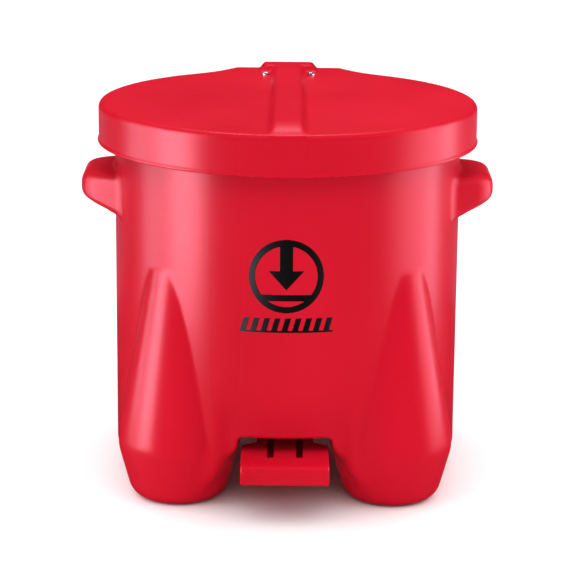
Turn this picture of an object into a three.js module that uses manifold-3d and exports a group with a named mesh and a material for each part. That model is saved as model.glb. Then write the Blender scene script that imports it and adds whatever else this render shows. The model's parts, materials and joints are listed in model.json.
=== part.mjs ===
// A pedal-operated waste can of 10 US gallons. A moulded body stands on four buttressed legs. A foot
// lever in a channel under the body pushes a lift rod up the back of the can, and the rod swings the
// lid open on its steel hinge.
// Millimetres, +Z up, the front of the can towards -Y. The origin is on the floor, under the middle of
// the whole object. Everything below is laid out around the can's own upright axis, and the exported
// group moves that axis to its place behind the origin.

import * as THREE from "three";
import { mergeVertices } from "three/addons/utils/BufferGeometryUtils.js";
import Module from "manifold-3d";

const wasm = await Module();
wasm.setup();

// ---------------------------------------------------------------- driving dimensions

const ROUND = 48; // facets round the body and the lid
const GAP = 0.3; // between pieces that touch
const PLAY = 0.4; // round a shank or a pin in its hole
const STEEL = 2.5; // thickness of the brackets

// Body
const WALL = 4;
const BODY_R = 193;
const BASE_Z = 18; // underside of the can between its feet
const BASE_EDGE = 12; // rounding round the base
const RIM_Z = 416.2;
const RIM_LIP_R = 195;
const PAD = { x: 44, y: 195, inner: 188.5, low: 333, high: 408 }; // flat seat of the hinge bracket

// Channel for the foot lever, from front to back under the can. It is wider at the floor, and the
// wall is dished over both its mouths.
const CHANNEL = { half: 51, foot: 100, knee: 70, top: 84, round: 9 };
const DISH = { half: 68, r: 185, low: 104, high: 126 };

// Legs: round cones that lean in above the knee and die out in the wall
const LEG_D = 166; // from the can's axis to a leg's axis
const LEG_KNEE = 60;
const LEG_TOP = 262;
const LEG_LEAN = 10.5 / (247 - LEG_KNEE);
const LEG_PROFILE = [
  [42, 0],
  [46.5, 1.8],
  [50, 5.5],
  [53, 11.5],
  [57, 21],
  [62.6, 40],
  [67, LEG_KNEE],
  [40, 247],
  [38, LEG_TOP],
];

// Carrying lugs on the two sides
const LUG = { reach: 229, root: 66, tip: 46, low: 303, high: 347, wall: 4.5 };

// Marks on the front wall
const ROUNDEL = { z: 267, r: 40 };
const STRIPES = { low: 205.5, high: 221.5, half: 50, count: 9 };

// Lid
const LID_R = 211;
const LID_TOP = 421;
const LID_WALL = 4.5;
const LID_EDGE = 7; // rounding of the top edge
const SKIRT_Z = 377;
const TAIL_Y = 241; // rear face of the housing over the hinge
const TAIL_HALF = 64;
const TAIL_EDGE = 20; // rounding of the housing's rear top edge
const RIDGE_RISE = 7;
const RIDGE_HALF = 20;
const HUMP_HALF = 33;

// Foot lever
const PIVOT = { y: 20, z: 52, r: 4 };
const TREAD = { front: -230, top: 68, bottom: 45.5, half: 47.5 };
const ARM_HALF = 31;

// Hinge and lift linkage
const HINGE = { y: 227, z: 404, r: 3 };
const CRANK = 22; // from the hinge axis to the lift rod's upper pin
const CRANK_REST = Math.PI / 6; // the crank points this far below level with the lid shut
const ROD = {
  y: HINGE.y - CRANK * Math.cos(CRANK_REST),
  top: HINGE.z - CRANK * Math.sin(CRANK_REST),
  low: PIVOT.z - 11,
  r: 2.5,
};

// The can's axis sits behind the origin so that the origin is under the middle of the object.
const CAN_Y = -(TREAD.front + TAIL_Y) / 2;

// ---------------------------------------------------------------- geometry helpers

// A three.js geometry as a manifold-3d solid.
function solid(geometry) {
  const bare = geometry.index ? geometry.toNonIndexed() : geometry.clone();
  bare.deleteAttribute("normal");
  bare.deleteAttribute("uv");
  const merged = mergeVertices(bare, 1e-4);
  const index = merged.index.array;
  const kept = [];
  for (let i = 0; i < index.length; i += 3) {
    const [a, b, c] = index.subarray(i, i + 3);
    if (a !== b && b !== c && c !== a) kept.push(a, b, c);
  }
  const made = (corners) =>
    new wasm.Manifold(
      new wasm.Mesh({
        numProp: 3,
        vertProperties: merged.attributes.position.array,
        triVerts: new Uint32Array(corners),
      }),
    );
  const first = made(kept);
  return first.volume() > 0 ? first : made(kept.reverse());
}

// A manifold-3d solid as a named three.js mesh.
function piece(name, body, material) {
  const { vertProperties, triVerts, numProp } = body.getMesh();
  const geometry = new THREE.BufferGeometry();
  const points = new THREE.BufferAttribute(vertProperties, numProp);
  geometry.setAttribute("position", points);
  geometry.setIndex(new THREE.BufferAttribute(triVerts, 1));
  geometry.computeVertexNormals();
  const mesh = new THREE.Mesh(geometry, material);
  mesh.name = name;
  return mesh;
}

const union = (...solids) => solids.reduce((sum, next) => sum.add(next));
const cut = (body, ...tools) => tools.reduce((left, tool) => left.subtract(tool), body);
const vector = ([a, b]) => new THREE.Vector2(a, b);

// A body of revolution round +Z from [radius, height] points.
function lathe(profile, sides = ROUND) {
  const geometry = new THREE.LatheGeometry(profile.map(vector), sides);
  return solid(geometry.rotateX(Math.PI / 2));
}

// A body of revolution with an open middle: its profile closes on itself.
const loop = (profile, sides = ROUND) => lathe([...profile, profile[0]], sides);

// A ring round +Z between two radii and two heights.
const ring = (inner, outer, low, high, sides = ROUND) =>
  loop([[inner, low], [outer, low], [outer, high], [inner, high]], sides);

function box([x0, x1], [y0, y1], [z0, z1]) {
  const geometry = new THREE.BoxGeometry(x1 - x0, y1 - y0, z1 - z0);
  return solid(geometry.translate((x0 + x1) / 2, (y0 + y1) / 2, (z0 + z1) / 2));
}

// An outline through [a, b, softness] points. A corner with a softness is rounded off, starting and
// ending that far from the corner, or almost half way to the next corner where there is less room.
function outline(points) {
  const shape = new THREE.Shape();
  points.forEach(([a, b, soft = 0], i) => {
    const corner = vector([a, b]);
    const toward = (other) => {
      const away = vector(other).sub(corner);
      return away.setLength(Math.min(soft, 0.48 * away.length())).add(corner);
    };
    const before = toward(points.at(i - 1));
    const after = toward(points[(i + 1) % points.length]);
    if (i) shape.lineTo(before.x, before.y);
    else shape.moveTo(before.x, before.y);
    if (soft) shape.quadraticCurveTo(a, b, after.x, after.y);
  });
  return shape;
}

// An outline extruded between two levels of the axis that its plane leaves out.
function prism(plane, points, low, high) {
  const shape = Array.isArray(points) ? outline(points) : points;
  const settings = { depth: high - low, bevelEnabled: false, curveSegments: 6 };
  const geometry = new THREE.ExtrudeGeometry(shape, settings);
  if (plane === "XZ") return solid(geometry.translate(0, 0, -high).rotateX(Math.PI / 2));
  geometry.translate(0, 0, low);
  if (plane === "XY") return solid(geometry);
  const [x, y, z] = [[0, 1, 0], [0, 0, 1], [1, 0, 0]].map((v) => new THREE.Vector3(...v));
  return solid(geometry.applyMatrix4(new THREE.Matrix4().makeBasis(x, y, z)));
}

// A round bar along an axis, centred on the two other coordinates.
function bar(axis, radius, low, high, [a, b], sides = 24) {
  const geometry = new THREE.CylinderGeometry(radius, radius, high - low, sides);
  geometry.translate(0, (low + high) / 2, 0);
  if (axis === "X") geometry.rotateZ(-Math.PI / 2).translate(0, a, b);
  if (axis === "Y") geometry.translate(a, 0, b);
  if (axis === "Z") geometry.rotateX(Math.PI / 2).translate(a, b, 0);
  return solid(geometry);
}

// A bar with a hole along it.
function sleeve(axis, inner, outer, low, high, centre, sides = 24) {
  return cut(
    bar(axis, outer, low, high, centre, sides),
    bar(axis, inner, low - 1, high + 1, centre, sides),
  );
}

// A solid and its mirror image across the can's middle plane.
const both = (body) => body.add(body.mirror([1, 0, 0]));

const plastic = (color, roughness) =>
  new THREE.MeshStandardMaterial({ color, roughness, metalness: 0 });
const metal = (color, roughness) =>
  new THREE.MeshStandardMaterial({ color, roughness, metalness: 1 });

const redPlastic = plastic(0xd6182e, 0.42);
const blackPrint = plastic(0x0b0a0b, 0.5);
const whiteNylon = plastic(0xe6e2d8, 0.5);
const zincSteel = metal(0xb9bcc0, 0.35);
const aluminium = metal(0xd9dadc, 0.3);

// ---------------------------------------------------------------- body

// One leg at its own azimuth, as the solid that lies `inset` inside its outer face.
function leg(azimuth, inset) {
  const sides = LEG_PROFILE.map(([r, z]) => [r - inset, z]);
  const profile = [[0, inset], [sides[0][0], inset]];
  profile.push(...sides.slice(1).map(([r, z]) => [r, Math.max(z, inset + z / LEG_TOP)]));
  profile.push([0, LEG_TOP]);
  const geometry = new THREE.LatheGeometry(profile.map(vector), 28).rotateX(Math.PI / 2);
  const points = geometry.attributes.position;
  for (let i = 0; i < points.count; i++) {
    const lean = LEG_LEAN * Math.max(0, points.getZ(i) - LEG_KNEE);
    points.setX(i, points.getX(i) + LEG_D - lean);
  }
  return solid(geometry.rotateZ(azimuth));
}

const legs = (inset) => union(...[1, 3, 5, 7].map((n) => leg((n * Math.PI) / 4, inset)));

// The can without its legs and its channel, `inset` inside its outer face.
function drum(inset, top) {
  const [radius, base] = [BODY_R - inset, BASE_Z + inset];
  return lathe([
    [0, base],
    [radius - BASE_EDGE, base],
    [radius - 0.3 * BASE_EDGE, base + 0.3 * BASE_EDGE],
    [radius, base + BASE_EDGE],
    [radius, top],
    [0, top],
  ]);
}

// The space of the channel and of the dishes in the wall, grown by `wall` all round.
function channel(wall) {
  const [half, foot, top] = [CHANNEL.half + wall, CHANNEL.foot + wall, CHANNEL.top + wall];
  const section = [
    [-foot, 0],
    [foot, 0],
    [half, CHANNEL.knee],
    [half, top, CHANNEL.round],
    [-half, top, CHANNEL.round],
    [-half, CHANNEL.knee],
  ];
  const dishes = loop([
    [DISH.r - wall, CHANNEL.top - 24],
    [BODY_R + 9, CHANNEL.top - 24],
    [BODY_R + 9, DISH.high],
    [BODY_R - wall, DISH.high],
    [BODY_R - wall - 1.5, DISH.high - 6],
    [DISH.r - wall + 2, DISH.low + 9],
    [DISH.r - wall, DISH.low],
  ]);
  const front = box([-DISH.half - wall, DISH.half + wall], [-240, 240], [0, DISH.high + 9]);
  return prism("XZ", section, -240, 240).add(dishes.intersect(front));
}

// A carrying lug, open underneath for the fingers.
function lug() {
  const plan = [
    [180, -LUG.root],
    [LUG.reach, -LUG.tip, 18],
    [LUG.reach, LUG.tip, 18],
    [180, LUG.root],
  ];
  const front = [
    [180, LUG.low - 3],
    [196, LUG.low + 1, 4],
    [217, LUG.low + 9, 7],
    [LUG.reach, LUG.low + 21, 8],
    [LUG.reach, LUG.high, 14],
    [180, LUG.high],
  ];
  const block = prism("XY", plan, LUG.low - 10, LUG.high + 10);
  return block.intersect(prism("XZ", front, -LUG.root - 1, LUG.root + 1));
}

function lugPocket() {
  const [inside, outside] = [BODY_R + LUG.wall, LUG.reach - LUG.wall];
  const [root, tip] = [LUG.root - 12, LUG.tip - 3];
  const plan = [[inside, -root], [outside, -tip, 14], [outside, tip, 14], [inside, root]];
  return prism("XY", plan, LUG.low - 15, LUG.high - LUG.wall - 1);
}

// The ear in the channel that holds one end of the lever's pin.
function pivotEar() {
  const ear = [
    [PIVOT.y - 17, CHANNEL.top + 1],
    [PIVOT.y - 14, PIVOT.z - 10, 12],
    [PIVOT.y + 14, PIVOT.z - 10, 12],
    [PIVOT.y + 17, CHANNEL.top + 1],
  ];
  return prism("YZ", ear, ARM_HALF + 3, ARM_HALF + 11);
}

const BOLTS = [-1, 1].flatMap((side) => [352, 392].map((z) => [side * 31, z]));
const GUIDE_Z = 232;
const GUIDE_SCREWS = [-16, 16].map((x) => [x, GUIDE_Z]);
const GUIDE_PAD_Y = 194.5;

function bodyShell() {
  const lip = ring(BODY_R - WALL, RIM_LIP_R, RIM_Z - 7, RIM_Z);
  const outer = union(
    drum(0, RIM_Z).subtract(channel(0)),
    lip,
    legs(0),
    both(lug()),
    both(pivotEar()),
    box([-PAD.x, PAD.x], [170, PAD.y], [PAD.low, PAD.high]),
    box([-24, 24], [170, GUIDE_PAD_Y], [GUIDE_Z - 11, GUIDE_Z + 11]),
  );
  // The inside follows the outside, but the hinge bracket's seat is flat on both faces.
  const seat = box([-PAD.x, PAD.x], [150, PAD.inner], [PAD.low + 4, RIM_Z + 2]);
  const beyondSeat = box([-PAD.x, PAD.x], [PAD.inner, 220], [PAD.low + 4, PAD.high]);
  const hollow = union(drum(WALL, RIM_Z + 2), legs(WALL), seat);
  const inside = hollow.subtract(union(beyondSeat, channel(WALL)));
  return cut(
    outer,
    inside,
    both(lugPocket()),
    box([-PAD.x, PAD.x], [170, 220], [PAD.high, RIM_Z + 2]),
    bar("X", PIVOT.r + PLAY, -ARM_HALF - 12, ARM_HALF + 12, [PIVOT.y, PIVOT.z]),
    ...BOLTS.map((at) => bar("Y", 2.5 + PLAY, 170, 210, at, 16)),
    ...GUIDE_SCREWS.map((at) => bar("Y", 1.9 + PLAY, 189.6, 210, at, 12)),
  );
}

// ---------------------------------------------------------------- lid

// A quarter-round edge of a lathe profile, from its flat top out and down to its upright side.
function topEdge(radius, top, round) {
  return [0, 1, 2, 3, 4, 5].map((n) => {
    const turn = (n * Math.PI) / 10;
    return [radius - round + round * Math.sin(turn), top - round + round * Math.cos(turn)];
  });
}

// A low ridge along Y with sloping flanks, and `root` deep in the plastic that it stands on.
function ridge(half, low, high, base, root = 3) {
  const [slope, top] = [half - RIDGE_RISE * 0.75, base + RIDGE_RISE];
  const section = [[-half, base], [-slope, top], [slope, top], [half, base]];
  section.push([half, base - root], [-half, base - root]);
  return prism("XZ", section, low, high);
}

function lidShell() {
  const cap = lathe([
    [0, SKIRT_Z],
    [LID_R, SKIRT_Z],
    ...topEdge(LID_R, LID_TOP, LID_EDGE).reverse(),
    [0, LID_TOP],
  ]);
  const tailPlan = [
    [-60, 150],
    [-97, 183],
    [-82, 202, 14],
    [-TAIL_HALF, 228, 8],
    [-TAIL_HALF, TAIL_Y, 9],
    [TAIL_HALF, TAIL_Y, 9],
    [TAIL_HALF, 228, 8],
    [82, 202, 14],
    [97, 183],
    [60, 150],
  ];
  const tailSide = [
    [150, SKIRT_Z],
    [206, SKIRT_Z],
    [TAIL_Y, 398],
    [TAIL_Y, LID_TOP, TAIL_EDGE],
    [150, LID_TOP],
  ];
  const tail = prism("XY", tailPlan, SKIRT_Z, LID_TOP).intersect(
    prism("YZ", tailSide, -90, 90),
  );
  // The ridge runs the length of the lid, slopes down at its front end and widens over the hinge.
  const peak = LID_TOP + RIDGE_RISE;
  const ridgeSide = [
    [-208, LID_TOP - 6],
    [-202, LID_TOP, 3],
    [-176, peak, 6],
    [TAIL_Y, peak, TAIL_EDGE],
    [TAIL_Y, LID_TOP - TAIL_EDGE],
    [-190, LID_TOP - TAIL_EDGE],
  ];
  const ridges = union(
    ridge(RIDGE_HALF, -208, 205, LID_TOP),
    ridge(HUMP_HALF, 196, TAIL_Y, LID_TOP, TAIL_EDGE),
  ).intersect(prism("YZ", ridgeSide, -60, 60));
  const crossRib = prism(
    "YZ",
    [[38, LID_TOP - 1], [46, LID_TOP + 1.8], [66, LID_TOP + 1.8], [74, LID_TOP - 1]],
    -125,
    125,
  );
  // The line left along the ridge by the mould.
  const seam = box([-1.2, 1.2], [-96, 222], [LID_TOP, peak + 0.6]);
  const ceiling = LID_TOP - LID_WALL;
  const hollow = union(
    lathe([
      [0, SKIRT_Z - 1],
      [LID_R - LID_WALL, SKIRT_Z - 1],
      ...topEdge(LID_R - LID_WALL, ceiling, LID_EDGE - LID_WALL).reverse(),
      [0, ceiling],
    ]),
    prism(
      "YZ",
      [
        [150, SKIRT_Z - 1],
        [TAIL_Y - LID_WALL, SKIRT_Z - 1],
        [TAIL_Y - LID_WALL, ceiling, TAIL_EDGE - LID_WALL],
        [150, ceiling],
      ],
      -TAIL_HALF + LID_WALL,
      TAIL_HALF - LID_WALL,
    ),
    ridge(RIDGE_HALF - LID_WALL, -170, 215, ceiling),
  );
  return cut(
    union(cap, tail, ridges, crossRib, seam),
    hollow,
    ...RIVETS.map((at) => bar("Z", 2.2 + PLAY, 400, 440, at, 12)),
  );
}

const RIVETS = [-26.5, 26.5].map((x) => [x, 172]);

// Domed on top of the lid, and set against the bracket underneath.
function rivet([x, y]) {
  const head = LID_TOP + GAP;
  const tail = PLATE.low - GAP;
  const profile = [
    [0, tail - 2.2],
    [3.6, tail - 2.2],
    [4, tail],
    [2.2, tail],
    [2.2, head],
    [5.2, head],
    [4.6, head + 1.5],
    [2.8, head + 2.6],
    [0, head + 3],
  ];
  return lathe(profile, 20).translate([x, y, 0]);
}

// ---------------------------------------------------------------- lid hinge

const PLATE = { low: LID_TOP - LID_WALL - GAP - STEEL, high: LID_TOP - LID_WALL - GAP };
const LID_EAR = 12; // inner face of the lid bracket's ears
const BODY_EAR = 22; // inner face of the body bracket's ears

// The plate under the lid, with two ears that turn on the hinge pin. The radial slot in each ear
// takes the lift rod's upper pin.
function lidBracket() {
  const plate = box([-35, 35], [160, 221], [PLATE.low, PLATE.high]);
  const ear = prism(
    "YZ",
    [
      [199, PLATE.high],
      [199.5, 392, 5],
      [206, 386.2, 6],
      [214, 388.5, 6],
      [231, 396.5, 6],
      [234.5, 404, 5],
      [230.5, 410.5, 4],
      [221, 412],
      [221, PLATE.high],
    ],
    LID_EAR,
    LID_EAR + STEEL,
  );
  const reach = (distance) => [
    HINGE.y - distance * Math.cos(CRANK_REST),
    HINGE.z - distance * Math.sin(CRANK_REST),
  ];
  const slotEnds = [CRANK - 3.7, CRANK + 0.5].map(reach);
  const ends = slotEnds.map((at) => bar("X", ROD.r + 0.5, -30, 30, at, 16));
  const slot = wasm.Manifold.hull(ends);
  return cut(
    union(plate, both(ear)),
    bar("X", HINGE.r + PLAY, -30, 30, [HINGE.y, HINGE.z]),
    slot,
    ...RIVETS.map((at) => bar("Z", 2.2 + PLAY, 400, 440, at, 12)),
  );
}

// The plate bolted to the back of the body, with the two ears that hold the hinge pin.
function bodyBracket() {
  const [front, back] = [PAD.y + GAP, PAD.y + GAP + STEEL];
  const base = [
    [-38, 340, 4],
    [38, 340, 4],
    [38, 404, 4],
    [20, 404],
    [20, 380, 5],
    [-20, 380, 5],
    [-20, 404],
    [-38, 404, 4],
  ];
  const ear = [
    [front, 404],
    [front, 372],
    [back + 1, 372],
    [212, 384, 8],
    [231, 396.5, 6],
    [234.6, 404, 5],
    [231, 411.4, 5],
    [216, 411.4, 8],
  ];
  return cut(
    union(
      prism("XZ", base, front, back),
      both(prism("YZ", ear, BODY_EAR, BODY_EAR + STEEL)),
    ),
    bar("X", HINGE.r + PLAY, -60, 60, [HINGE.y, HINGE.z]),
    ...BOLTS.map((at) => bar("Y", 2.5 + PLAY, 180, 210, at, 16)),
  );
}

// A bolt from inside the can, and the nut behind the bracket.
function bracketBolt(at) {
  const face = PAD.inner - GAP;
  return union(
    bar("Y", 6, face - 1.2, face, at, 20),
    bar("Y", 4.6, face - 2.3, face - 1.2, at, 20),
    bar("Y", 2.5, face - 1.5, 206, at, 16),
  );
}

function bracketNut(at) {
  const face = PAD.y + 2 * GAP + STEEL;
  return cut(
    union(bar("Y", 4.9, face, face + 3.6, at, 6), bar("Y", 3.9, face + 3, face + 4.8, at, 16)),
    bar("Y", 2.5 + PLAY, face - 1, face + 6, at, 16),
  );
}

// ---------------------------------------------------------------- lift rod

// A straight rod with an eye at each end.
function liftRod() {
  const eyes = [ROD.low, ROD.top].map((z) => bar("X", 7, -2.8, 2.8, [ROD.y, z], 24));
  const holes = [ROD.low, ROD.top].map((z) => bar("X", ROD.r + 0.5, -9, 9, [ROD.y, z], 16));
  const shaft = bar("Z", ROD.r, ROD.low, ROD.top, [0, ROD.y], 16);
  return cut(union(shaft, ...eyes), ...holes);
}

// A pin with a flat head on its -X end.
function headedPin(head, tip, centre) {
  return union(
    bar("X", ROD.r, head, tip, centre, 16),
    bar("X", ROD.r + 2, head - 2, head + 0.01, centre, 20),
  );
}

// A sprung washer pushed on to a pin.
const pushNut = (x, pinRadius, centre) =>
  sleeve("X", pinRadius + GAP, pinRadius + 3.6, x, x + 1.5, centre, 18);

// The guide that keeps the rod upright behind the can.
function rodGuide() {
  const [front, back] = [GUIDE_PAD_Y + GAP, GUIDE_PAD_Y + GAP + 2];
  const plate = prism(
    "XZ",
    [
      [-22, GUIDE_Z - 8, 3],
      [22, GUIDE_Z - 8, 3],
      [22, GUIDE_Z + 8, 3],
      [-22, GUIDE_Z + 8, 3],
    ],
    front,
    back,
  );
  const loop = [[-9, front], [9, front], [9, 218, 7], [-9, 218, 7]];
  const window = [[-5.5, 201], [5.5, 201], [5.5, 214.5, 4], [-5.5, 214.5, 4]];
  return cut(
    union(plate, prism("XY", loop, GUIDE_Z - 5, GUIDE_Z + 5)),
    prism("XY", window, GUIDE_Z - 9, GUIDE_Z + 9),
    ...GUIDE_SCREWS.map((at) => bar("Y", 1.9 + PLAY, 180, 210, at, 12)),
  );
}

function guideScrew(at) {
  const face = GUIDE_PAD_Y + 2 * GAP + 2;
  return union(
    bar("Y", 3.8, face, face + 1.6, at, 18),
    bar("Y", 2.9, face + 1.6, face + 2.4, at, 18),
    bar("Y", 1.9, 190.2, face + 0.5, at, 12),
  );
}

// ---------------------------------------------------------------- foot lever

// The lever in one moulding: a wide tread in front, grooved along its top, and a narrower arm that
// passes between the legs to a fork behind the can.
function footLever() {
  const side = [
    [TREAD.front + 3, TREAD.top, 3],
    [TREAD.front, TREAD.top - 6],
    [TREAD.front, TREAD.top - 8],
    [TREAD.front + 3, TREAD.bottom, 3],
    [-140, TREAD.bottom, 20],
    [0, PIVOT.z - 12, 30],
    [196, ROD.low - 9],
    [ROD.y + 9, ROD.low - 9, 9],
    [ROD.y + 9, ROD.low + 9, 9],
    [196, ROD.low + 9.5],
    [-150, TREAD.top, 20],
  ];
  const plan = [
    [-TREAD.half, TREAD.front, 4],
    [TREAD.half, TREAD.front, 4],
    [TREAD.half, -160, 10],
    [ARM_HALF, -134, 10],
    [ARM_HALF, 150, 18],
    [14, 176, 8],
    [14, 220],
    [-14, 220],
    [-14, 176, 8],
    [-ARM_HALF, 150, 18],
    [-ARM_HALF, -134, 10],
    [-TREAD.half, -160, 10],
  ];
  const block = prism("YZ", side, -50, 50).intersect(prism("XY", plan, 20, 80));
  const groove = box([12.3, 18.9], [-197, -30], [57, 90]);
  return cut(
    block,
    both(groove),
    box([-9, 9], [TREAD.front + 8, 2], [20, 56]),
    both(box([22, TREAD.half - 4], [TREAD.front + 8, -162], [20, 63.5])),
    box([-26, 26], [44, 150], [20, 47]),
    box([-3.7, 3.7], [192, 230], [20, 80]),
    bar("X", PIVOT.r + 2 + PLAY, -60, 60, [PIVOT.y, PIVOT.z]),
    bar("X", ROD.r + PLAY, -60, 60, [ROD.y, ROD.low], 16),
  );
}

// A flanged bush pressed into the lever's bore from its right-hand side.
function leverBush() {
  const centre = [PIVOT.y, PIVOT.z];
  const [bore, face] = [PIVOT.r + GAP, ARM_HALF + GAP];
  return union(
    sleeve("X", bore, PIVOT.r + 2, 14, face + 0.1, centre),
    sleeve("X", bore, PIVOT.r + 5, face, face + 2.3, centre),
  );
}

// ---------------------------------------------------------------- printed marks

// A flat mark wrapped round the front of the can.
function mark(shape) {
  const skin = ring(BODY_R + GAP, BODY_R + GAP + 0.5, 150, 350);
  return skin.intersect(prism("XZ", shape, -BODY_R - 20, -100));
}

// A ring with an arrow in it that points down at a bar.
function roundel() {
  const at = (points) => points.map(([x, z]) => [x, z + ROUNDEL.z]);
  const rim = new THREE.Shape().absarc(0, ROUNDEL.z, ROUNDEL.r, 0, 2 * Math.PI);
  rim.holes.push(new THREE.Path().absarc(0, ROUNDEL.z, ROUNDEL.r - 7, 0, 2 * Math.PI));
  const arrow = [[-7, 36], [-7, 6], [-19, 6], [0, -15], [19, 6], [7, 6], [7, 36]];
  const level = [[-29, -20], [29, -20], [26, -27], [-26, -27]];
  return union(...[rim, at(arrow), at(level)].map(mark));
}

// A row of slanted blocks on a thin line.
function stripes() {
  const { low, high, half, count } = STRIPES;
  const pitch = (2 * half) / count;
  const line = [[-half, low], [half, low], [half, low + 2.5], [-half, low + 2.5]];
  const blocks = Array.from({ length: count }, (_, n) => {
    const x = n * pitch - half;
    return [[x, low], [x + 0.6 * pitch, low], [x + pitch, high], [x + 0.4 * pitch, high]];
  });
  return union(...[line, ...blocks].map(mark));
}

// ---------------------------------------------------------------- assembly

const can = new THREE.Group();
can.position.y = CAN_Y;

const hingeCentre = [HINGE.y, HINGE.z];
const pivotCentre = [PIVOT.y, PIVOT.z];
const rodFoot = [ROD.y, ROD.low];
const rodHead = [ROD.y, ROD.top];
const sides = [["left", -1], ["right", 1]];

can.add(
  piece("body_shell", bodyShell(), redPlastic),
  piece("lid_shell", lidShell(), redPlastic),
  piece("foot_lever", footLever(), redPlastic),
  piece("lift_rod", liftRod(), zincSteel),
  piece("body_hinge_bracket", bodyBracket(), zincSteel),
  piece("lid_hinge_bracket", lidBracket(), zincSteel),
  piece("hinge_pin", bar("X", HINGE.r, -31, 31, hingeCentre), zincSteel),
  piece("lever_pivot_pin", bar("X", PIVOT.r, -46, 46, pivotCentre), zincSteel),
  piece("rod_upper_pin", headedPin(-17, 18.5, rodHead), zincSteel),
  piece("rod_upper_clip", pushNut(LID_EAR + STEEL + 1, ROD.r, rodHead), zincSteel),
  piece("rod_lower_pin", headedPin(-14.3, 18.5, rodFoot), zincSteel),
  piece("rod_lower_clip", pushNut(14 + GAP, ROD.r, rodFoot), zincSteel),
  piece("rod_guide", rodGuide(), whiteNylon),
  piece("front_roundel", roundel(), blackPrint),
  piece("front_stripes", stripes(), blackPrint),
);

sides.forEach(([name, side], n) => {
  const turned = (body) => (side < 0 ? body.mirror([1, 0, 0]) : body);
  const spacer = sleeve("X", HINGE.r + GAP, 5.5, LID_EAR + STEEL + GAP, BODY_EAR - GAP, hingeCentre);
  const hingeNut = pushNut(BODY_EAR + STEEL + GAP, HINGE.r, hingeCentre);
  const leverNut = pushNut(ARM_HALF + 11 + GAP, PIVOT.r, pivotCentre);
  can.add(
    piece(`hinge_spacer_${name}`, turned(spacer), whiteNylon),
    piece(`hinge_pin_nut_${name}`, turned(hingeNut), zincSteel),
    piece(`lever_bush_${name}`, turned(leverBush()), whiteNylon),
    piece(`lever_pin_nut_${name}`, turned(leverNut), zincSteel),
    piece(`lid_rivet_${name}`, rivet(RIVETS[n]), aluminium),
    piece(`guide_screw_${name}`, guideScrew(GUIDE_SCREWS[n]), zincSteel),
  );
});

BOLTS.forEach((at, n) => {
  can.add(
    piece(`bracket_bolt_${n + 1}`, bracketBolt(at), zincSteel),
    piece(`bracket_nut_${n + 1}`, bracketNut(at), zincSteel),
  );
});

const model = new THREE.Group();
model.add(can);
export default model;
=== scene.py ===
"""A foot-operated waste can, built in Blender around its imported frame.

The can, its lid and its foot lever are signed distance fields that are turned into smooth meshes.
The steel and nylon pieces are copies of the frame's own, with their edges broken.
The shape functions work in millimetres from the can's upright axis at floor level, with the front of
the can towards -Y. Meshes are made in metres, in the frame's own coordinates.
"""

import json
import math

import bmesh
import bpy
import numpy as np
from mathutils import Matrix, Vector

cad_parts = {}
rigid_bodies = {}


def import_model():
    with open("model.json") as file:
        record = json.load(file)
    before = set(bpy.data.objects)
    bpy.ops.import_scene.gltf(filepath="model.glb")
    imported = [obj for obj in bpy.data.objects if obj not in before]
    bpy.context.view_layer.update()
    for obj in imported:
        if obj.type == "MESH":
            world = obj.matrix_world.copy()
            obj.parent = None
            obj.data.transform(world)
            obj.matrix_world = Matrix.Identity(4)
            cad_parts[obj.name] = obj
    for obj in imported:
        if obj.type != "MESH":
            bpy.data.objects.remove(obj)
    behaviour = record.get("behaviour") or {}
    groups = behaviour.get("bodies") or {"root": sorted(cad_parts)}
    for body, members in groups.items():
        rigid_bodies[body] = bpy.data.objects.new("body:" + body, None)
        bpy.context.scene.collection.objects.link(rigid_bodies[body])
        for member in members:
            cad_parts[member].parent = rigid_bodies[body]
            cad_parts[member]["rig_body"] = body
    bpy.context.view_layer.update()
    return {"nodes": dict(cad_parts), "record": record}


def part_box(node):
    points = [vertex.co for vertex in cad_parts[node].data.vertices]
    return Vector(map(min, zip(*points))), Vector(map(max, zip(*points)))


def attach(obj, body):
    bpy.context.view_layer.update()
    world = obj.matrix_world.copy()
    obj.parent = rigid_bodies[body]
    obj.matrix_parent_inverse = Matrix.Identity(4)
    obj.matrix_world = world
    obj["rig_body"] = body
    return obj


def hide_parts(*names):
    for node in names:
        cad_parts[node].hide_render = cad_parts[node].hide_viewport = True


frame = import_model()

# ---------------------------------------------------------------- driving dimensions

MM = 0.001
COARSE = 1
FACE_LIMIT = 190_000  # triangles in one piece

# Body
WALL = 4
BODY_R = 193
BASE_Z = 18
BASE_EDGE = 18
RIM_Z = 416.2
RIM_LIP_R = 195
SEAT = {"half": 44, "outer": 195, "inner": 188.5, "low": 333, "high": 408}
GUIDE_SEAT = {"half": 24, "outer": 194.5, "low": 221, "high": 243}

# The lever's channel under the can, and the dishes in the wall over both its mouths
CHANNEL = {"half": 51, "foot": 100, "knee": 70, "top": 84, "round": 9}
DISH = {"half": 68, "fade": 22, "r": 185, "low": 106, "high": 124}

# Legs: cones that lean in above the knee and die out in the wall
LEG_D = 166
LEG_R = 67.5
LEG_KNEE = 60
LEG_TOP = 262
LEG_TAPER = 26 / 189  # above the knee
FOOT_TAPER = 0.275  # below it
LEG_LEAN = 10.5 / 189

# Carrying lugs
LUG = {"reach": 229, "root": 66, "tip": 46, "low": 304, "high": 347, "wall": 4.5}

# Lid
LID_R = 211
LID_TOP = 421
LID_WALL = 4.5
LID_EDGE = 7
SKIRT_Z = 377
TAIL_Y = 240.9
TAIL_HALF = 64
TAIL_EDGE = 20
RIDGE_RISE = 7
RIDGE_HALF = 20
HUMP_HALF = 33
RIB = {"front": 38, "back": 74, "half": 130, "rise": 1.8, "ramp": 9}

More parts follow.
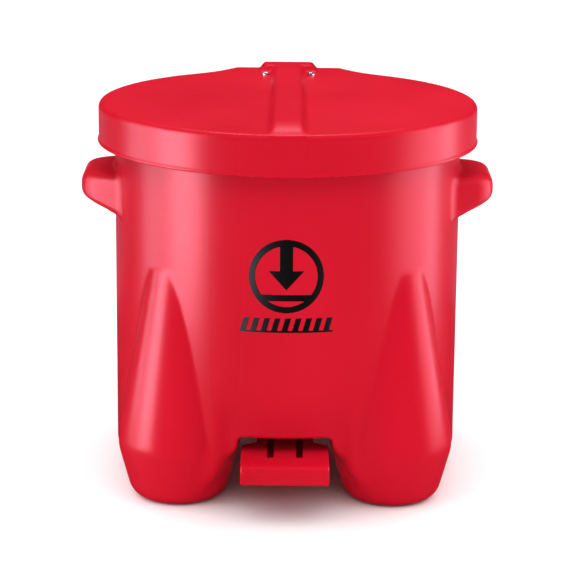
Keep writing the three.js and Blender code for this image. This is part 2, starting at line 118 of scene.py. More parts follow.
# Foot lever
PIVOT = {"y": 20, "z": 52}
TREAD = {"front": -230, "top": 68, "bottom": 45.5, "half": 47.5}
ARM_HALF = 31
ROD_EYE = {"y": 227 - 22 * math.cos(math.pi / 6), "z": 41}

# Marks on the front wall
ROUNDEL = {"z": 267, "r": 40, "band": 7}
STRIPES = {"low": 205.5, "high": 221.5, "half": 50, "count": 9}
FILM = 0.12  # how far the ink stands out of the wall

# Linear colours of the materials, each from its darkest tint to its lightest
RED_DARK = (0.54, 0.0038, 0.017)
RED_LIGHT = (0.61, 0.0050, 0.022)
INK_TINTS = ((0.002, 0.002, 0.002), (0.006, 0.005, 0.005))
NYLON_TINTS = ((0.70, 0.67, 0.58), (0.82, 0.80, 0.73))
ZINC_TINTS = ((0.50, 0.50, 0.49), (0.66, 0.67, 0.66))
ALUMINIUM_TINTS = ((0.70, 0.70, 0.70), (0.80, 0.80, 0.79))
FLOOR_TINTS = ((0.93, 0.935, 0.93), (0.95, 0.955, 0.95))

COOL = (1.0, 0.93, 1.14)  # the tint of the gloss lamps
# Gloss lamps beside the can, in metres: name, x, nearest y, farthest y, radiance
SIDE_BOXES = (
    ("left_box", -0.75, -0.60, -0.25, 42.0),
    ("left_rear_box", -0.75, -0.25, 0.08, 12.0),
    ("right_box", 0.75, -0.30, 0.21, 12.5),
)

# The camera: lengths in metres, angles in degrees, focal length in picture widths
CAMERA = {
    "distance": 2.6,
    "height": 0.884,
    "aside": 0.0018,
    "pitch": 14.65,
    "roll": 0.5,
    "focal": 4.097,
}
FLOOR_HALF = 6.0

# The can's axis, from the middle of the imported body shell
body_low, body_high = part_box("body_shell")
CAN_Y = (body_low[1] + body_high[1]) / 2

# ---------------------------------------------------------------- distance fields


def join(a, b, soft=0.01):
    """Signed distance of two shapes joined, with the crease between them softened over soft mm."""
    overlap = np.maximum(soft - np.abs(a - b), 0)
    return np.minimum(a, b) - overlap**2 / (4 * soft)


def meet(a, b, soft=0.01):
    """Signed distance of what two shapes share, with the edge between them rounded over soft mm."""
    return -join(-a, -b, soft)


def carve(a, b, soft=0.01):
    """Signed distance of the first shape with the second one cut out of it."""
    return meet(a, -b, soft)


def beyond(a, b, start, end):
    """Distance to the right of a line that is walked from start to end."""
    da, db = end[0] - start[0], end[1] - start[1]
    return ((a - start[0]) * db - (b - start[1]) * da) / math.hypot(da, db)


def slab(a, low, high, soft=0.01):
    return meet(low - a, a - high, soft)


def rod_shape(a, b, centre, radius):
    return np.hypot(a - centre[0], b - centre[1]) - radius


# ---------------------------------------------------------------- the can


def rise(share):
    """Goes smoothly from 0 to 1 as a share does."""
    t = np.clip(share, 0, 1)
    return t * t * (3 - 2 * t)


def drum(x, y, z):
    """The can without its legs and its channel: a wall dished over both mouths. It has no top."""
    r = np.hypot(x, y)
    wall = r - BODY_R
    slope = beyond(r, z, (DISH["r"], DISH["low"]), (BODY_R, DISH["high"]))
    dished = join(meet(wall, slope, 9), r - DISH["r"], 9)
    away = rise((np.abs(x) - DISH["half"]) / DISH["fade"] + 0.5)
    return meet(dished + (wall - dished) * away, BASE_Z - z, BASE_EDGE)


def channel(x, z):
    """The room for the lever, from front to back under the can. It is wider at the floor."""
    side = np.abs(x)
    flank = beyond(side, z, (CHANNEL["foot"], 0), (CHANNEL["half"], CHANNEL["knee"]))
    section = join(side - CHANNEL["half"], flank, 3)
    return meet(section, z - CHANNEL["top"], CHANNEL["round"])


def legs(x, y, z):
    """The four legs, folded on to one of them."""
    out = (np.abs(x) + np.abs(y)) / math.sqrt(2)
    aside = (np.abs(x) - np.abs(y)) / math.sqrt(2)
    above = z - LEG_KNEE
    lean = LEG_LEAN * 0.5 * (above + np.hypot(above, 20))
    across = np.hypot(out - LEG_D + lean, aside) - LEG_R
    shank = (across + LEG_TAPER * above) * math.cos(math.atan(LEG_TAPER))
    foot = (across - FOOT_TAPER * above) * math.cos(math.atan(FOOT_TAPER))
    side = meet(shank, foot, 3)
    return meet(meet(side, -z, 16), z - LEG_TOP, 6)


def lug_plan(side, y, soft):
    """A lug from above: it gets narrower outwards."""
    flank = beyond(side, np.abs(y), (LUG["reach"], LUG["tip"]), (180, LUG["root"]))
    return meet(flank, side - LUG["reach"], soft)


def lugs(x, y, z):
    side = np.abs(x)
    underside = beyond(side, z, (196, LUG["low"]), (LUG["reach"], LUG["low"] + 14))
    block = meet(meet(lug_plan(side, y, 18), z - LUG["high"], 15), underside, 9)
    return meet(block, 180 - side)


def lug_pockets(x, y, z):
    """The hollows of the lugs, open underneath for the fingers."""
    side = np.abs(x)
    wall = LUG["wall"]
    plan = lug_plan(side, y, 14) + wall
    return meet(meet(plan, z - LUG["high"] + wall + 1, 8), BODY_R + wall - side, 7)


def pivot_ears(x, y, z):
    """The two ears in the channel that hold the lever's pin."""
    centre = (PIVOT["y"], PIVOT["z"])
    round_end = rod_shape(y, z, centre, 13)
    shank = meet(np.abs(y - PIVOT["y"]) - 13 - 0.1 * (z - PIVOT["z"]), PIVOT["z"] - z)
    plate = meet(join(round_end, shank), z - CHANNEL["top"] - 2)
    return meet(plate, slab(np.abs(x), ARM_HALF + 3, ARM_HALF + 11), 1.2)


def can_block(x, y, z):
    """The can as if it were solid: wall, rim, legs, lugs and the two seats at the back.

    The channel's mouths and the creases along the legs get softer towards the floor.
    """
    lip = meet(np.hypot(x, y) - RIM_LIP_R, RIM_Z - 7 - z, 1.6)
    mouth = 4 + 12 * rise((76 - z) / 24)
    crease = 2 + 8 * rise((80 - z) / 24)
    shape = join(carve(drum(x, y, z), channel(x, z), mouth), lip, 1.5)
    shape = join(shape, legs(x, y, z), crease)
    shape = join(shape, lugs(x, y, z), 6)
    seat = meet(slab(z, SEAT["low"], SEAT["high"]), y - SEAT["outer"], 1.5)
    seat = meet(meet(seat, np.abs(x) - SEAT["half"], 1.5), 170 - y)
    guide = meet(slab(z, GUIDE_SEAT["low"], GUIDE_SEAT["high"]), y - GUIDE_SEAT["outer"], 0.8)
    guide = meet(meet(guide, np.abs(x) - GUIDE_SEAT["half"], 0.8), 170 - y)
    shape = join(join(shape, seat, 2), guide, 1)
    notch = meet(meet(SEAT["high"] - z, np.abs(x) - SEAT["half"], 3), 170 - y)
    return carve(meet(shape, z - RIM_Z, 1.6), notch, 1.5)


def can_inside(x, y, z):
    hollow = join(drum(x, y, z), legs(x, y, z), 6) + WALL
    hollow = carve(hollow, channel(x, z) - WALL, 6)
    seat = meet(slab(z, SEAT["low"] + 4, RIM_Z + 20), y - SEAT["inner"])
    seat = meet(meet(seat, np.abs(x) - SEAT["half"], 2), 150 - y)
    behind = meet(SEAT["inner"] - y, np.abs(x) - SEAT["half"] - 4)
    behind = meet(behind, slab(z, SEAT["low"] + 4, SEAT["high"]))
    return meet(carve(join(hollow, seat, 3), behind, 1), z - RIM_Z - 4)


def can_body(x, y, z):
    shape = carve(can_block(x, y, z), lug_pockets(x, y, z), 1.5)
    shape = join(shape, pivot_ears(x, y, z), 4)
    return carve(shape, can_inside(x, y, z), 1.6)


# ---------------------------------------------------------------- the lid


def lid_plan(x, y):
    """The lid's outline from above: a disc with a housing for the hinge behind it."""
    side = np.abs(x)
    disc = np.hypot(x, y) - LID_R
    flare = meet(beyond(side, y, (94, 189), (TAIL_HALF, 229)), y - 229)
    tail = meet(side - TAIL_HALF, y - TAIL_Y, 9)
    tail = join(tail, flare, 5)
    return join(disc, meet(tail, 120 - y), 12)


def ridge_section(side, z, half):
    """A flat-topped ridge with sloping flanks, as wide as 2 * half where it leaves the lid."""
    peak = LID_TOP + RIDGE_RISE
    flank = beyond(side, z, (half, LID_TOP), (half - 0.75 * RIDGE_RISE, peak))
    return meet(meet(flank, side - half), z - peak, 3)


def lid_ridges(x, y, z):
    """The ridge along the lid, which widens over the hinge, and the line of the mould on it."""
    side = np.abs(x)
    peak = LID_TOP + RIDGE_RISE
    front = beyond(-y, z, (204, LID_TOP), (177, peak))
    ridge = meet(meet(ridge_section(side, z, RIDGE_HALF), front, 5), y - 205)
    hump = meet(ridge_section(side, z, HUMP_HALF), beyond(-y, z, (-194, LID_TOP), (-200, peak)), 3)
    line = meet(meet(side - 1.2, z - peak - 0.6, 0.8), slab(y, -96, 222), 2)
    return join(join(ridge, hump, 3), line, 1)


def rear_edge(y, z, top):
    """The rounded rear top edge of the housing over the hinge."""
    return meet(y - TAIL_Y, z - top, TAIL_EDGE)


def lid_outside(x, y, z):
    plan = lid_plan(x, y)
    ends = (y - RIB["front"], RIB["back"] - y, RIB["half"] - np.abs(x))
    rib = math.prod(rise(end / RIB["ramp"]) for end in ends)
    skin = meet(plan, z - LID_TOP - RIB["rise"] * rib, LID_EDGE)
    skin = meet(skin, rear_edge(y, z, LID_TOP))
    ridges = meet(lid_ridges(x, y, z), rear_edge(y, z, LID_TOP + RIDGE_RISE))
    return join(skin, meet(ridges, plan + 2), 3)


def lid_block(x, y, z):
    """The lid as if it were solid: its skin, the bead round its foot and its cut-away rear."""
    skin = lid_outside(x, y, z)
    bead = np.hypot(lid_plan(x, y) + 0.6, z - SKIRT_Z - 2) - 1.9
    skin = meet(join(skin, bead, 1.5), SKIRT_Z - z, 0.8)
    return meet(skin, beyond(y, z, (206, SKIRT_Z), (TAIL_Y, 398)), 0.8)


def lid_inside(x, y, z):
    return meet(lid_outside(x, y, z) + LID_WALL, SKIRT_Z - 4 - z)


def lid_shell(x, y, z):
    return carve(lid_block(x, y, z), lid_inside(x, y, z), 1.0)


# ---------------------------------------------------------------- the foot lever


def foot_lever(x, y, z):
    """The tread in front, the arm through the channel and the fork that holds the rod behind."""
    side = np.abs(x)
    front, half, high, low = (TREAD[key] for key in ("front", "half", "top", "bottom"))
    top = meet(z - high, beyond(y, z, (196, 50.5), (-150, high)), 2)
    bottom = join(low - z, beyond(y, z, (-140, low), (196, 32)), 1)
    brow = beyond(-y, z, (-front, high - 7), (-front - 3, high))
    chin = beyond(-y, z, (-front - 3, low), (-front, high - 7))
    outline = meet(meet(top, bottom, 3), meet(brow, chin, 2), 4)
    eye = rod_shape(y, z, (ROD_EYE["y"], ROD_EYE["z"]), 9)
    fork = meet(join(meet(y - ROD_EYE["y"], outline), eye), side - 14)
    wide = meet(side - half, y + 147, 12)
    arm = meet(side - ARM_HALF, y - 163, 16)
    plan = join(join(wide, arm, 14), meet(side - 14, y - ROD_EYE["y"]), 14)
    shape = meet(outline, plan, 2.5)
    shape = join(shape, meet(fork, 150 - y), 1)
    grooves = meet(meet(slab(side, 12.3, 18.9), slab(y, -197, -30), 2), 57 - z)
    trough = meet(meet(side - 9, slab(y, front + 8, 2), 2), z - 56, 1)
    panels = meet(slab(side, 22, half - 4), slab(y, front + 8, -162), 2)
    panels = meet(panels, z - 63.5, 1)
    pocket = meet(meet(side - 26, slab(y, 44, 150), 3), z - 47, 1)
    gap = meet(side - 3.7, 192 - y, 2)
    bore = rod_shape(y, z, (PIVOT["y"], PIVOT["z"]), 6.2)
    for hollow in (grooves, trough, panels, pocket, gap, bore):
        shape = carve(shape, hollow, 1.0)
    return shape


# ---------------------------------------------------------------- meshing


def levels(*stretches):
    """Grid levels through (start, end, step) stretches that follow one another."""
    parts = []
    for start, end, step in stretches:
        count = max(1, round((end - start) / (step * COARSE)))
        parts.append(np.linspace(start, end, count + 1)[:-1])
    return np.concatenate([*parts, [stretches[-1][1]]])


def round_lattice(radii, heights, columns):
    """Grid points round the upright axis, closed on itself."""
    turn = np.linspace(0, 2 * math.pi, columns // COARSE + 1)
    r, a, z = np.meshgrid(radii, turn, heights, indexing="ij")
    return np.stack([r * np.cos(a), r * np.sin(a), z])


def surface_net(field, lattice, closed=False):
    """Vertices and quads over the zero surface of a field, one vertex in each cell that it crosses.

    closed says that the lattice's last column along its second axis is its first one again.
    """
    values = field(*lattice)
    inside = values < 0
    shape = np.array(values.shape)
    cells = shape - 1
    unit = np.eye(3, dtype=int)
    owners, crossings, quads = [], [], []
    for axis in range(3):
        near = tuple(slice(0, n - s) for n, s in zip(shape, unit[axis]))
        far = tuple(slice(s, n) for n, s in zip(shape, unit[axis]))
        at = np.argwhere(inside[near] != inside[far])
        if closed and axis != 1:
            at = at[at[:, 1] < cells[1]]
        start, end = tuple(at.T), tuple((at + unit[axis]).T)
        share = values[start] / (values[start] - values[end])
        first, last = (lattice[(slice(None), *corner)] for corner in (start, end))
        crossing = (first + share * (last - first)).T
        u, v = unit[(axis + 1) % 3], unit[(axis + 2) % 3]
        around = np.stack([at - u - v, at - v, at, at - u], axis=1)
        if closed:
            around[..., 1] %= cells[1]
        whole = np.all((around >= 0) & (around < cells), axis=2)
        flat = np.ravel_multi_index(np.moveaxis(around, 2, 0), cells, mode="clip")
        for corner in range(4):
            real = whole[:, corner]
            owners.append(flat[real, corner])
            crossings.append(crossing[real])
        full = whole.all(axis=1)
        faces = flat[full]
        backwards = ~inside[start][full]
        faces[backwards] = faces[backwards][:, ::-1]
        quads.append(faces)
    owners, crossings = np.concatenate(owners), np.concatenate(crossings)
    names, place = np.unique(owners, return_inverse=True)
    count = np.bincount(place)
    points = np.stack([np.bincount(place, crossings[:, c]) / count for c in range(3)], axis=1)
    return points, np.searchsorted(names, np.concatenate(quads))


def slope_of(field, points, reach=0.15):
    """The field's gradient at some points."""
    steps = np.eye(3) * reach
    return np.stack(
        [(field(*(points + s).T) - field(*(points - s).T)) / (2 * reach) for s in steps],
        axis=1,
    )


def settle(field, points, rounds=4):
    """Points moved straight on to the field's zero surface."""
    for _ in range(rounds):
        gradient = slope_of(field, points)
        step = field(*points.T) / np.maximum((gradient**2).sum(axis=1), 0.2)
        points = points - np.clip(step, -2, 2)[:, None] * gradient
    return points


def to_frame(points):
    """Millimetres from the can's axis to the frame's metres."""
    return points * MM + np.array([0, CAN_Y, 0])


def from_frame(points):
    return (points - np.array([0, CAN_Y, 0])) / MM


def new_object(name, mesh):
    made = bpy.data.objects.new(name, mesh)
    bpy.context.collection.objects.link(made)
    return made


def flattened(made):
    """An object's mesh with its modifiers applied."""
    evaluated = made.evaluated_get(bpy.context.evaluated_depsgraph_get())
    mesh = bpy.data.meshes.new_from_object(evaluated)
    old, made.data = made.data, mesh
    made.modifiers.clear()
    bpy.data.meshes.remove(old)
    return mesh


def net_object(name, field, lattice, closed=False):
    """An object with a closed mesh of a field's zero surface."""
    points, quads = surface_net(field, lattice, closed)
    points = settle(field, points)
    mesh = bpy.data.meshes.new(name)
    mesh.from_pydata(to_frame(points).tolist(), [], quads.tolist())
    patch_holes(mesh)
    return new_object(name, mesh)


def patch_holes(mesh):
    """Close the small ring that a round lattice leaves at its axis."""
    work = bmesh.new()
    work.from_mesh(mesh)
    open_edges = [edge for edge in work.edges if edge.is_boundary]
    bmesh.ops.holes_fill(work, edges=open_edges, sides=0)
    work.to_mesh(mesh)
    work.free()


def combine(made, operation, *others):
    """Join other closed meshes to an object's, or cut them out of it."""
    for other in others:
        step = made.modifiers.new("combine", "BOOLEAN")
        step.operation = operation
        step.solver = "MANIFOLD"
        step.object = other
    flattened(made)
    for other in others:
        bpy.data.meshes.remove(other.data)


def finished(made, field):
    """A mesh thinned to the face limit, laid on a field's surface and shaded by the field."""
    mesh = made.data
    count = sum(len(face.vertices) - 2 for face in mesh.polygons)
    if count > FACE_LIMIT:
        thin = made.modifiers.new("thin", "DECIMATE")
        thin.ratio = FACE_LIMIT / count
        mesh = flattened(made)
    place = np.empty(3 * len(mesh.vertices))
    mesh.vertices.foreach_get("co", place)
    points = settle(field, from_frame(place.reshape(-1, 3)))
    mesh.vertices.foreach_set("co", to_frame(points).ravel())
    mesh.update()
    shade_by_field(mesh, field, points)
    return made


def shade_by_field(mesh, field, points):
    normals = slope_of(field, points, 0.4)
    normals /= np.maximum(np.linalg.norm(normals, axis=1, keepdims=True), 1e-9)
    mesh.shade_smooth()
    mesh.normals_split_custom_set_from_vertices(normals.tolist())


def box_lattice(xs, ys, zs):
    return np.stack(np.meshgrid(xs, ys, zs, indexing="ij"))


def mirrored(spread):
    """Grid levels on both sides of the middle plane, from those on one side."""
    return np.concatenate([-spread[::-1], spread])


def box_net(name, field, low, high, step):
    """A net on an even grid between two corners."""
    return net_object(name, field, box_lattice(*(levels((a, b, step)) for a, b in zip(low, high))))


def make_body():
    """The can, from nets of its block, its inside, the hollows of its lugs and its pivot ears."""
    radii = levels((0, 180.3, 3.5), (180.3, 196.3, 1), (196.3, 236.3, 2.5))
    heights = levels(
        (-1.7, 36.3, 2),
        (36.3, 76.3, 4),
        (76.3, 130.3, 1.8),
        (130.3, 218.3, 6),
        (218.3, 246.3, 2),
        (246.3, 298.3, 5),
        (298.3, 350.3, 2.5),
        (350.3, 404.3, 9),
        (404.3, 419.3, 0.8),
    )
    made = net_object("can_body", can_block, round_lattice(radii, heights, 360), closed=True)
    radii = levels((0, 178.7, 4), (178.7, 190.7, 1), (190.7, 232.7, 3))
    heights = levels((1.1, 41.1, 2), (41.1, 77.1, 4), (77.1, 131.1, 2), (131.1, 425.1, 7))
    inside = net_object("inside", can_inside, round_lattice(radii, heights, 300), closed=True)
    across, reach = LUG["root"] + 4, LUG["reach"]
    right = box_net("right_pocket", lug_pockets, (180, -across, 270), (reach, across, 350), 2)
    left = box_net("left_pocket", lug_pockets, (-reach, -across, 270), (-180, across, 350), 2)
    ears = box_net("ears", pivot_ears, (-48, -4, 35), (48, 44, 91), 1.5)
    combine(made, "UNION", ears)
    combine(made, "DIFFERENCE", inside, right, left)
    return finished(made, can_body)


def make_lid():
    """The lid, from nets of its block and its inside."""
    xs = mirrored(levels((0.55, 14.55, 2), (14.55, 34.55, 1.2), (34.55, 219.55, 3)))
    ys = levels((-215.3, 196.3, 3), (196.3, 244.3, 1.5))
    zs = levels((375.3, 383.3, 0.7), (383.3, 404.3, 3), (404.3, 430.3, 0.9))
    made = net_object("can_lid", lid_block, box_lattice(xs, ys, zs))
    zs = levels((370, 388, 3), (388, 425, 1.5))
    inside = net_object("inside", lid_inside, box_lattice(xs, ys, zs))
    combine(made, "DIFFERENCE", inside)
    return finished(made, lid_shell)


def make_lever():
    xs = mirrored(levels((0.55, 50.35, 1.3)))
    ys = levels((-233.3, -140.3, 1.5), (-140.3, 180.3, 2), (180.3, 222.3, 1))
    made = net_object("tread_lever", foot_lever, box_lattice(xs, ys, levels((28.3, 71.3, 1))))
    return finished(made, foot_lever)


def make_film(name, mark, half, low, high):
    """A printed film on the front wall, in the shape of a flat mark."""

    def film(x, y, z):
        along = BODY_R * np.arctan2(x, -y)
        depth = np.abs(np.hypot(x, y) - BODY_R) - FILM
        return meet(mark(along, z), depth, 0.05)

    along = levels((-half, half, 0.6)) / BODY_R
    depths = BODY_R + np.array([-3, -0.6, 0.6, 3]) * FILM
    r, a, z = np.meshgrid(depths, along, levels((low, high, 0.6)), indexing="ij")
    made = net_object(name, film, np.stack([r * np.sin(a), -r * np.cos(a), z]))
    return finished(made, film)


def roundel_mark(a, z):
    """A ring with an arrow in it that points down at a bar."""
    side, up = np.abs(a), z - ROUNDEL["z"]
    band = ROUNDEL["band"] / 2
    ring = np.abs(np.hypot(a, up) - ROUNDEL["r"] + band) - band
    shaft = meet(side - 7, slab(up, 5, 36))
    head = meet(beyond(side, up, (0, -15), (19, 6)), up - 6)
    bar = meet(slab(up, -27, -20), side - 29)
    return join(join(ring, bar), join(shaft, head))


def stripes_mark(a, z):
    """A row of slanted blocks on a thin line."""
    pitch = 2 * STRIPES["half"] / STRIPES["count"]
    tall = STRIPES["high"] - STRIPES["low"]
    lean = 0.4 * pitch * (z - STRIPES["low"]) / tall
    within = np.mod(a + STRIPES["half"] - lean, pitch)
    blocks = np.maximum(-within, within - 0.6 * pitch)
    blocks = np.maximum(blocks, within - pitch)
    ends = np.maximum(-a - STRIPES["half"] + lean, a - STRIPES["half"])
    row = meet(meet(blocks, ends), slab(z, STRIPES["low"], STRIPES["high"]))
    line = meet(np.abs(a) - STRIPES["half"], slab(z, STRIPES["low"], STRIPES["low"] + 2.5))
    return join(row, line)


# ---------------------------------------------------------------- small pieces


def broken_edges(node, width=0.3):
    """A copy of a frame node with its flat faces made whole and its edges broken."""
    mesh = frame["nodes"][node].data.copy()
    work = bmesh.new()
    work.from_mesh(mesh)
    bmesh.ops.remove_doubles(work, verts=work.verts, dist=1e-6)
    flat = math.radians(1)
    bmesh.ops.dissolve_limit(work, angle_limit=flat, verts=work.verts, edges=work.edges)
    sharp = [e for e in work.edges if e.is_manifold and e.calc_face_angle(0) > math.radians(28)]
    bmesh.ops.bevel(
        work, geom=sharp, offset=width * MM, segments=2, profile=0.5, affect="EDGES",
        clamp_overlap=True,
    )
    work.to_mesh(mesh)
    work.free()
    mesh.shade_smooth()
    made = new_object(node + "_piece", mesh)
    weights = made.modifiers.new("weights", "WEIGHTED_NORMAL")
    weights.keep_sharp = True
    flattened(made)
    return made


def turned(name, profile, centre, sides=64):
    """A body of revolution round an upright axis, from [radius, height] points in millimetres."""
    work = bmesh.new()
    start = [work.verts.new((r * MM, 0, z * MM)) for r, z in profile]
    edges = [work.edges.new(pair) for pair in zip(start, start[1:])]
    bmesh.ops.spin(
        work, geom=start + edges, cent=(0, 0, 0), axis=(0, 0, 1), angle=2 * math.pi,
        steps=sides, use_merge=True,
    )
    bmesh.ops.remove_doubles(work, verts=work.verts, dist=1e-7)
    bmesh.ops.recalc_face_normals(work, faces=work.faces)
    bmesh.ops.translate(work, verts=work.verts, vec=centre)
    mesh = bpy.data.meshes.new(name)
    work.to_mesh(mesh)
    work.free()
    mesh.shade_smooth()
    mesh.set_sharp_from_angle(angle=math.radians(40))
    return new_object(name, mesh)


def make_rivet(node):
    """A domed rivet head on its shank, set against the bracket under the lid."""
    low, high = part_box(node)
    centre = ((low[0] + high[0]) / 2, (low[1] + high[1]) / 2, 0)
    radius = (high[0] - low[0]) / 2 / MM
    foot, crown = low[2] / MM, high[2] / MM
    brim = crown - 3
    dome = [
        (radius * math.sin(t), brim + 0.5 + 2.4 * math.cos(t))
        for t in np.linspace(0, math.pi / 2, 12)
    ]
    rest = [(radius, brim + 0.1), (radius - 0.2, brim), (2.3, brim), (2.3, foot + 2.2)]
    tail = [(3.9, foot + 2.2), (3.9, foot + 0.4), (3.4, foot), (0, foot)]
    return turned(node + "_piece", dome + rest + tail, centre)


# ---------------------------------------------------------------- materials


def new_material(name):
    made = bpy.data.materials.new(name)
    made.use_nodes = True
    return made, made.node_tree, made.node_tree.nodes["Principled BSDF"]


def add(tree, kind, values=None, **settings):
    """A shader node with its settings, and values or links on its inputs."""
    made = tree.nodes.new("ShaderNode" + kind)
    for key, value in settings.items():
        setattr(made, key, value)
    for key, value in (values or {}).items():
        if isinstance(value, bpy.types.NodeSocket):
            tree.links.new(value, made.inputs[key])
        else:
            made.inputs[key].default_value = value
    return made


def place_in(tree, stretch=(1, 1, 1)):
    """The point on the object, in metres, stretched along its axes."""
    place = add(tree, "TexCoord").outputs["Object"]
    return add(tree, "Mapping", {"Vector": place, "Scale": stretch}).outputs["Vector"]


def noise(tree, where, scale, detail=2.0, roughness=0.5):
    values = {"Vector": where, "Scale": scale, "Detail": detail, "Roughness": roughness}
    return add(tree, "TexNoise", values).outputs["Fac"]


def between(tree, share, low, high):
    """A value that goes from low to high as a share goes from 0.3 to 0.7."""
    values = {"Value": share, "From Min": 0.3, "From Max": 0.7, "To Min": low, "To Max": high}
    return add(tree, "MapRange", values).outputs["Result"]


def tints(tree, share, dark, light):
    """A colour between two tints."""
    ramp_node = add(tree, "ValToRGB", {"Fac": share})
    ends = ramp_node.color_ramp.elements
    ends[0].position, ends[0].color = 0.3, (*dark, 1)
    ends[1].position, ends[1].color = 0.7, (*light, 1)
    return ramp_node.outputs["Color"]


def bump(tree, height, distance, strength, under=None):
    values = {"Height": height, "Distance": distance, "Strength": strength}
    if under is not None:
        values["Normal"] = under
    return add(tree, "Bump", values).outputs["Normal"]


def link(tree, socket, target):
    tree.links.new(socket, target)


def red_plastic():
    """Moulded polyethylene: a soft sheen with broad, faint, upright streaks over a fine grain."""
    made, tree, shader = new_material("red_polyethylene")
    streaks = noise(tree, place_in(tree, (10, 10, 1.2)), 1.0, 1, 0.4)
    clouds = noise(tree, place_in(tree), 6.0, 1)
    grain = noise(tree, place_in(tree), 1500.0, 2)
    waves = noise(tree, place_in(tree), 26.0, 2)
    mixed = add(tree, "Math", {0: streaks, 1: clouds}, operation="ADD").outputs[0]
    mixed = add(tree, "Math", {0: mixed, 1: 0.5}, operation="MULTIPLY").outputs[0]
    link(tree, tints(tree, mixed, RED_DARK, RED_LIGHT), shader.inputs["Base Color"])
    link(tree, between(tree, streaks, 0.27, 0.32), shader.inputs["Roughness"])
    rough = bump(tree, grain, 0.00005, 0.2)
    link(tree, bump(tree, waves, 0.0004, 0.15, rough), shader.inputs["Normal"])
    shader.inputs["IOR"].default_value = 1.3
    shader.inputs["Specular IOR Level"].default_value = 0.15
    return made


def black_print():
    """Screen ink: nearly even, with a faint grain and a soft gloss."""
    made, tree, shader = new_material("black_print")
    grain = noise(tree, place_in(tree), 900.0, 3)
    link(tree, tints(tree, grain, *INK_TINTS), shader.inputs["Base Color"])
    link(tree, between(tree, grain, 0.42, 0.55), shader.inputs["Roughness"])
    shader.inputs["IOR"].default_value = 1.3
    shader.inputs["Specular IOR Level"].default_value = 0.1
    return made


def white_nylon():
    made, tree, shader = new_material("white_nylon")
    clouds = noise(tree, place_in(tree), 160.0, 3)
    link(tree, tints(tree, clouds, *NYLON_TINTS), shader.inputs["Base Color"])
    link(tree, between(tree, clouds, 0.42, 0.55), shader.inputs["Roughness"])
    link(tree, bump(tree, noise(tree, place_in(tree), 1200.0), 0.0001, 0.2), shader.inputs["Normal"])
    shader.inputs["Subsurface Weight"].default_value = 0.15
    shader.inputs["Subsurface Radius"].default_value = (0.002, 0.002, 0.0015)
    return made


def bare_metal(name, dark, light, low, high, stretch):
    """Metal with drawing lines along one axis and cloudy tarnish."""
    made, tree, shader = new_material(name)
    lines = noise(tree, place_in(tree, stretch), 1.0, 3)
    clouds = noise(tree, place_in(tree), 70.0, 4)
    link(tree, tints(tree, clouds, dark, light), shader.inputs["Base Color"])
    link(tree, between(tree, lines, low, high), shader.inputs["Roughness"])
    link(tree, bump(tree, lines, 0.00005, 0.3), shader.inputs["Normal"])
    shader.inputs["Metallic"].default_value = 1.0
    return made


def pale_floor():
    made, tree, shader = new_material("pale_floor")
    clouds = noise(tree, place_in(tree), 3.0, 2)
    link(tree, tints(tree, clouds, *FLOOR_TINTS), shader.inputs["Base Color"])
    shader.inputs["Roughness"].default_value = 0.8
    return made


# ---------------------------------------------------------------- studio


def aimed(made, place, target):
    made.location = place
    made.rotation_euler = (Vector(target) - Vector(place)).to_track_quat("-Z", "Y").to_euler()


def soft_box(name, place, target, size, radiance, gloss=False):
    """A rectangular lamp that looks evenly bright, whatever its size, and stays out of pictures.

    A gloss lamp only shows in shiny surfaces, and any other one only lights matt surfaces.
    """
    lamp = bpy.data.lights.new(name, "AREA")
    lamp.shape = "RECTANGLE"
    lamp.size, lamp.size_y = size
    lamp.energy = radiance * math.pi * size[0] * size[1]
    lamp.color = COOL if gloss else (1, 1, 1)
    made = new_object(name, lamp)
    made.visible_camera = False
    made.visible_glossy = gloss
    made.visible_diffuse = not gloss
    aimed(made, place, target)


def make_camera():
    """The camera in front of the can, looking down on it, rolled a little as the picture is."""
    lens = bpy.data.cameras.new("camera")
    lens.sensor_width = 36
    lens.lens = 36 * CAMERA["focal"]
    made = new_object("camera", lens)
    made.location = (CAMERA["aside"], CAN_Y - CAMERA["distance"], CAMERA["height"])
    pitch = Matrix.Rotation(math.radians(90 - CAMERA["pitch"]), 4, "X")
    roll = Matrix.Rotation(math.radians(CAMERA["roll"]), 4, "Z")
    made.matrix_world = Matrix.Translation(made.location) @ pitch @ roll
    bpy.context.scene.camera = made


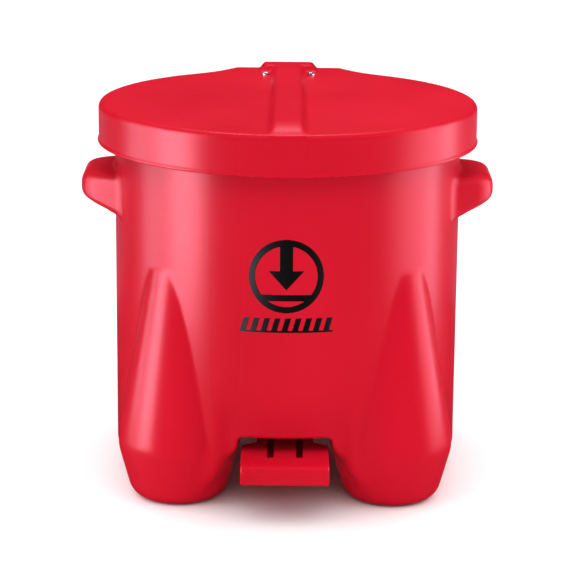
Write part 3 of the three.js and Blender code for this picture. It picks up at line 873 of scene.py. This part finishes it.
def make_studio():
    """A pale floor, matt light from above, from in front and from both sides, and gloss lamps.

    The gloss lamps stand beside the can and behind it.
    """
    work = bmesh.new()
    bmesh.ops.create_grid(work, x_segments=8, y_segments=8, size=FLOOR_HALF)
    mesh = bpy.data.meshes.new("floor")
    work.to_mesh(mesh)
    work.free()
    floor = new_object("floor", mesh)
    floor.data.materials.append(pale_floor())
    floor.visible_glossy = False
    middle = (0, CAN_Y, 0.2)
    soft_box("ceiling", (0, 1.5, 4.2), (0, 1.5, 0), (14, 14), 1.85)
    soft_box("front_wash", (0.2, CAN_Y - 2.3, 0.8), middle, (3.0, 1.2), 0.9)
    soft_box("left_wash", (-1.6, CAN_Y - 0.3, 0.5), middle, (1.6, 1.0), 0.5)
    soft_box("right_wash", (1.6, CAN_Y - 0.1, 0.5), middle, (1.6, 1.0), 0.6)
    for name, side, near, far, radiance in SIDE_BOXES:
        place = (side, (near + far) / 2, 0.42)
        soft_box(name, place, (0, place[1], 0.42), (far - near, 0.8), radiance, gloss=True)
    soft_box("rear_box", (0, CAN_Y + 2.0, 2.3), (0, CAN_Y, 0.42), (1.0, 0.4), 9.0, gloss=True)
    rear = (0, CAN_Y + 0.6, 0.19)
    soft_box("rear_panel", rear, (0, CAN_Y, 0.19), (2.0, 0.36), 0.25, gloss=True)
    sky = bpy.data.worlds.new("studio")
    sky.use_nodes = True
    sky.node_tree.nodes["Background"].inputs["Color"].default_value = (0.9, 0.92, 0.95, 1)
    sky.node_tree.nodes["Background"].inputs["Strength"].default_value = 0.035
    bpy.context.scene.world = sky
    bpy.context.scene.view_settings.view_transform = "Standard"


# ---------------------------------------------------------------- assembly

make_camera()
make_studio()

materials = {
    "red_plastic": red_plastic(),
    "black_print": black_print(),
    "white_nylon": white_nylon(),
    "zinc_steel": bare_metal("zinc_steel", *ZINC_TINTS, 0.3, 0.44, (900, 900, 12)),
    "aluminium": bare_metal("aluminium", *ALUMINIUM_TINTS, 0.22, 0.34, (300, 300, 300)),
}
slot_of = {part["node"]: part["material_slot"] for part in frame["record"]["subparts"]}
body_of = {node: made["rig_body"] for node, made in frame["nodes"].items()}


def fit(piece, node):
    """A finished piece takes its node's place, body, slot and material."""
    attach(piece, body_of[node])
    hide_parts(node)
    piece.data.materials.clear()
    piece.data.materials.append(materials[slot_of[node]])


fit(make_body(), "body_shell")
fit(make_lid(), "lid_shell")
fit(make_lever(), "foot_lever")
high, low = ROUNDEL["z"] + ROUNDEL["r"] + 1, ROUNDEL["z"] - ROUNDEL["r"] - 1
fit(make_film("roundel_film", roundel_mark, ROUNDEL["r"] + 1, low, high), "front_roundel")
low, high = STRIPES["low"] - 1, STRIPES["high"] + 1
fit(make_film("stripes_film", stripes_mark, STRIPES["half"] + 1, low, high), "front_stripes")
for node in body_of:
    if node.startswith("lid_rivet"):
        fit(make_rivet(node), node)
    elif slot_of[node] not in ("red_plastic", "black_print"):
        fit(broken_edges(node), node)
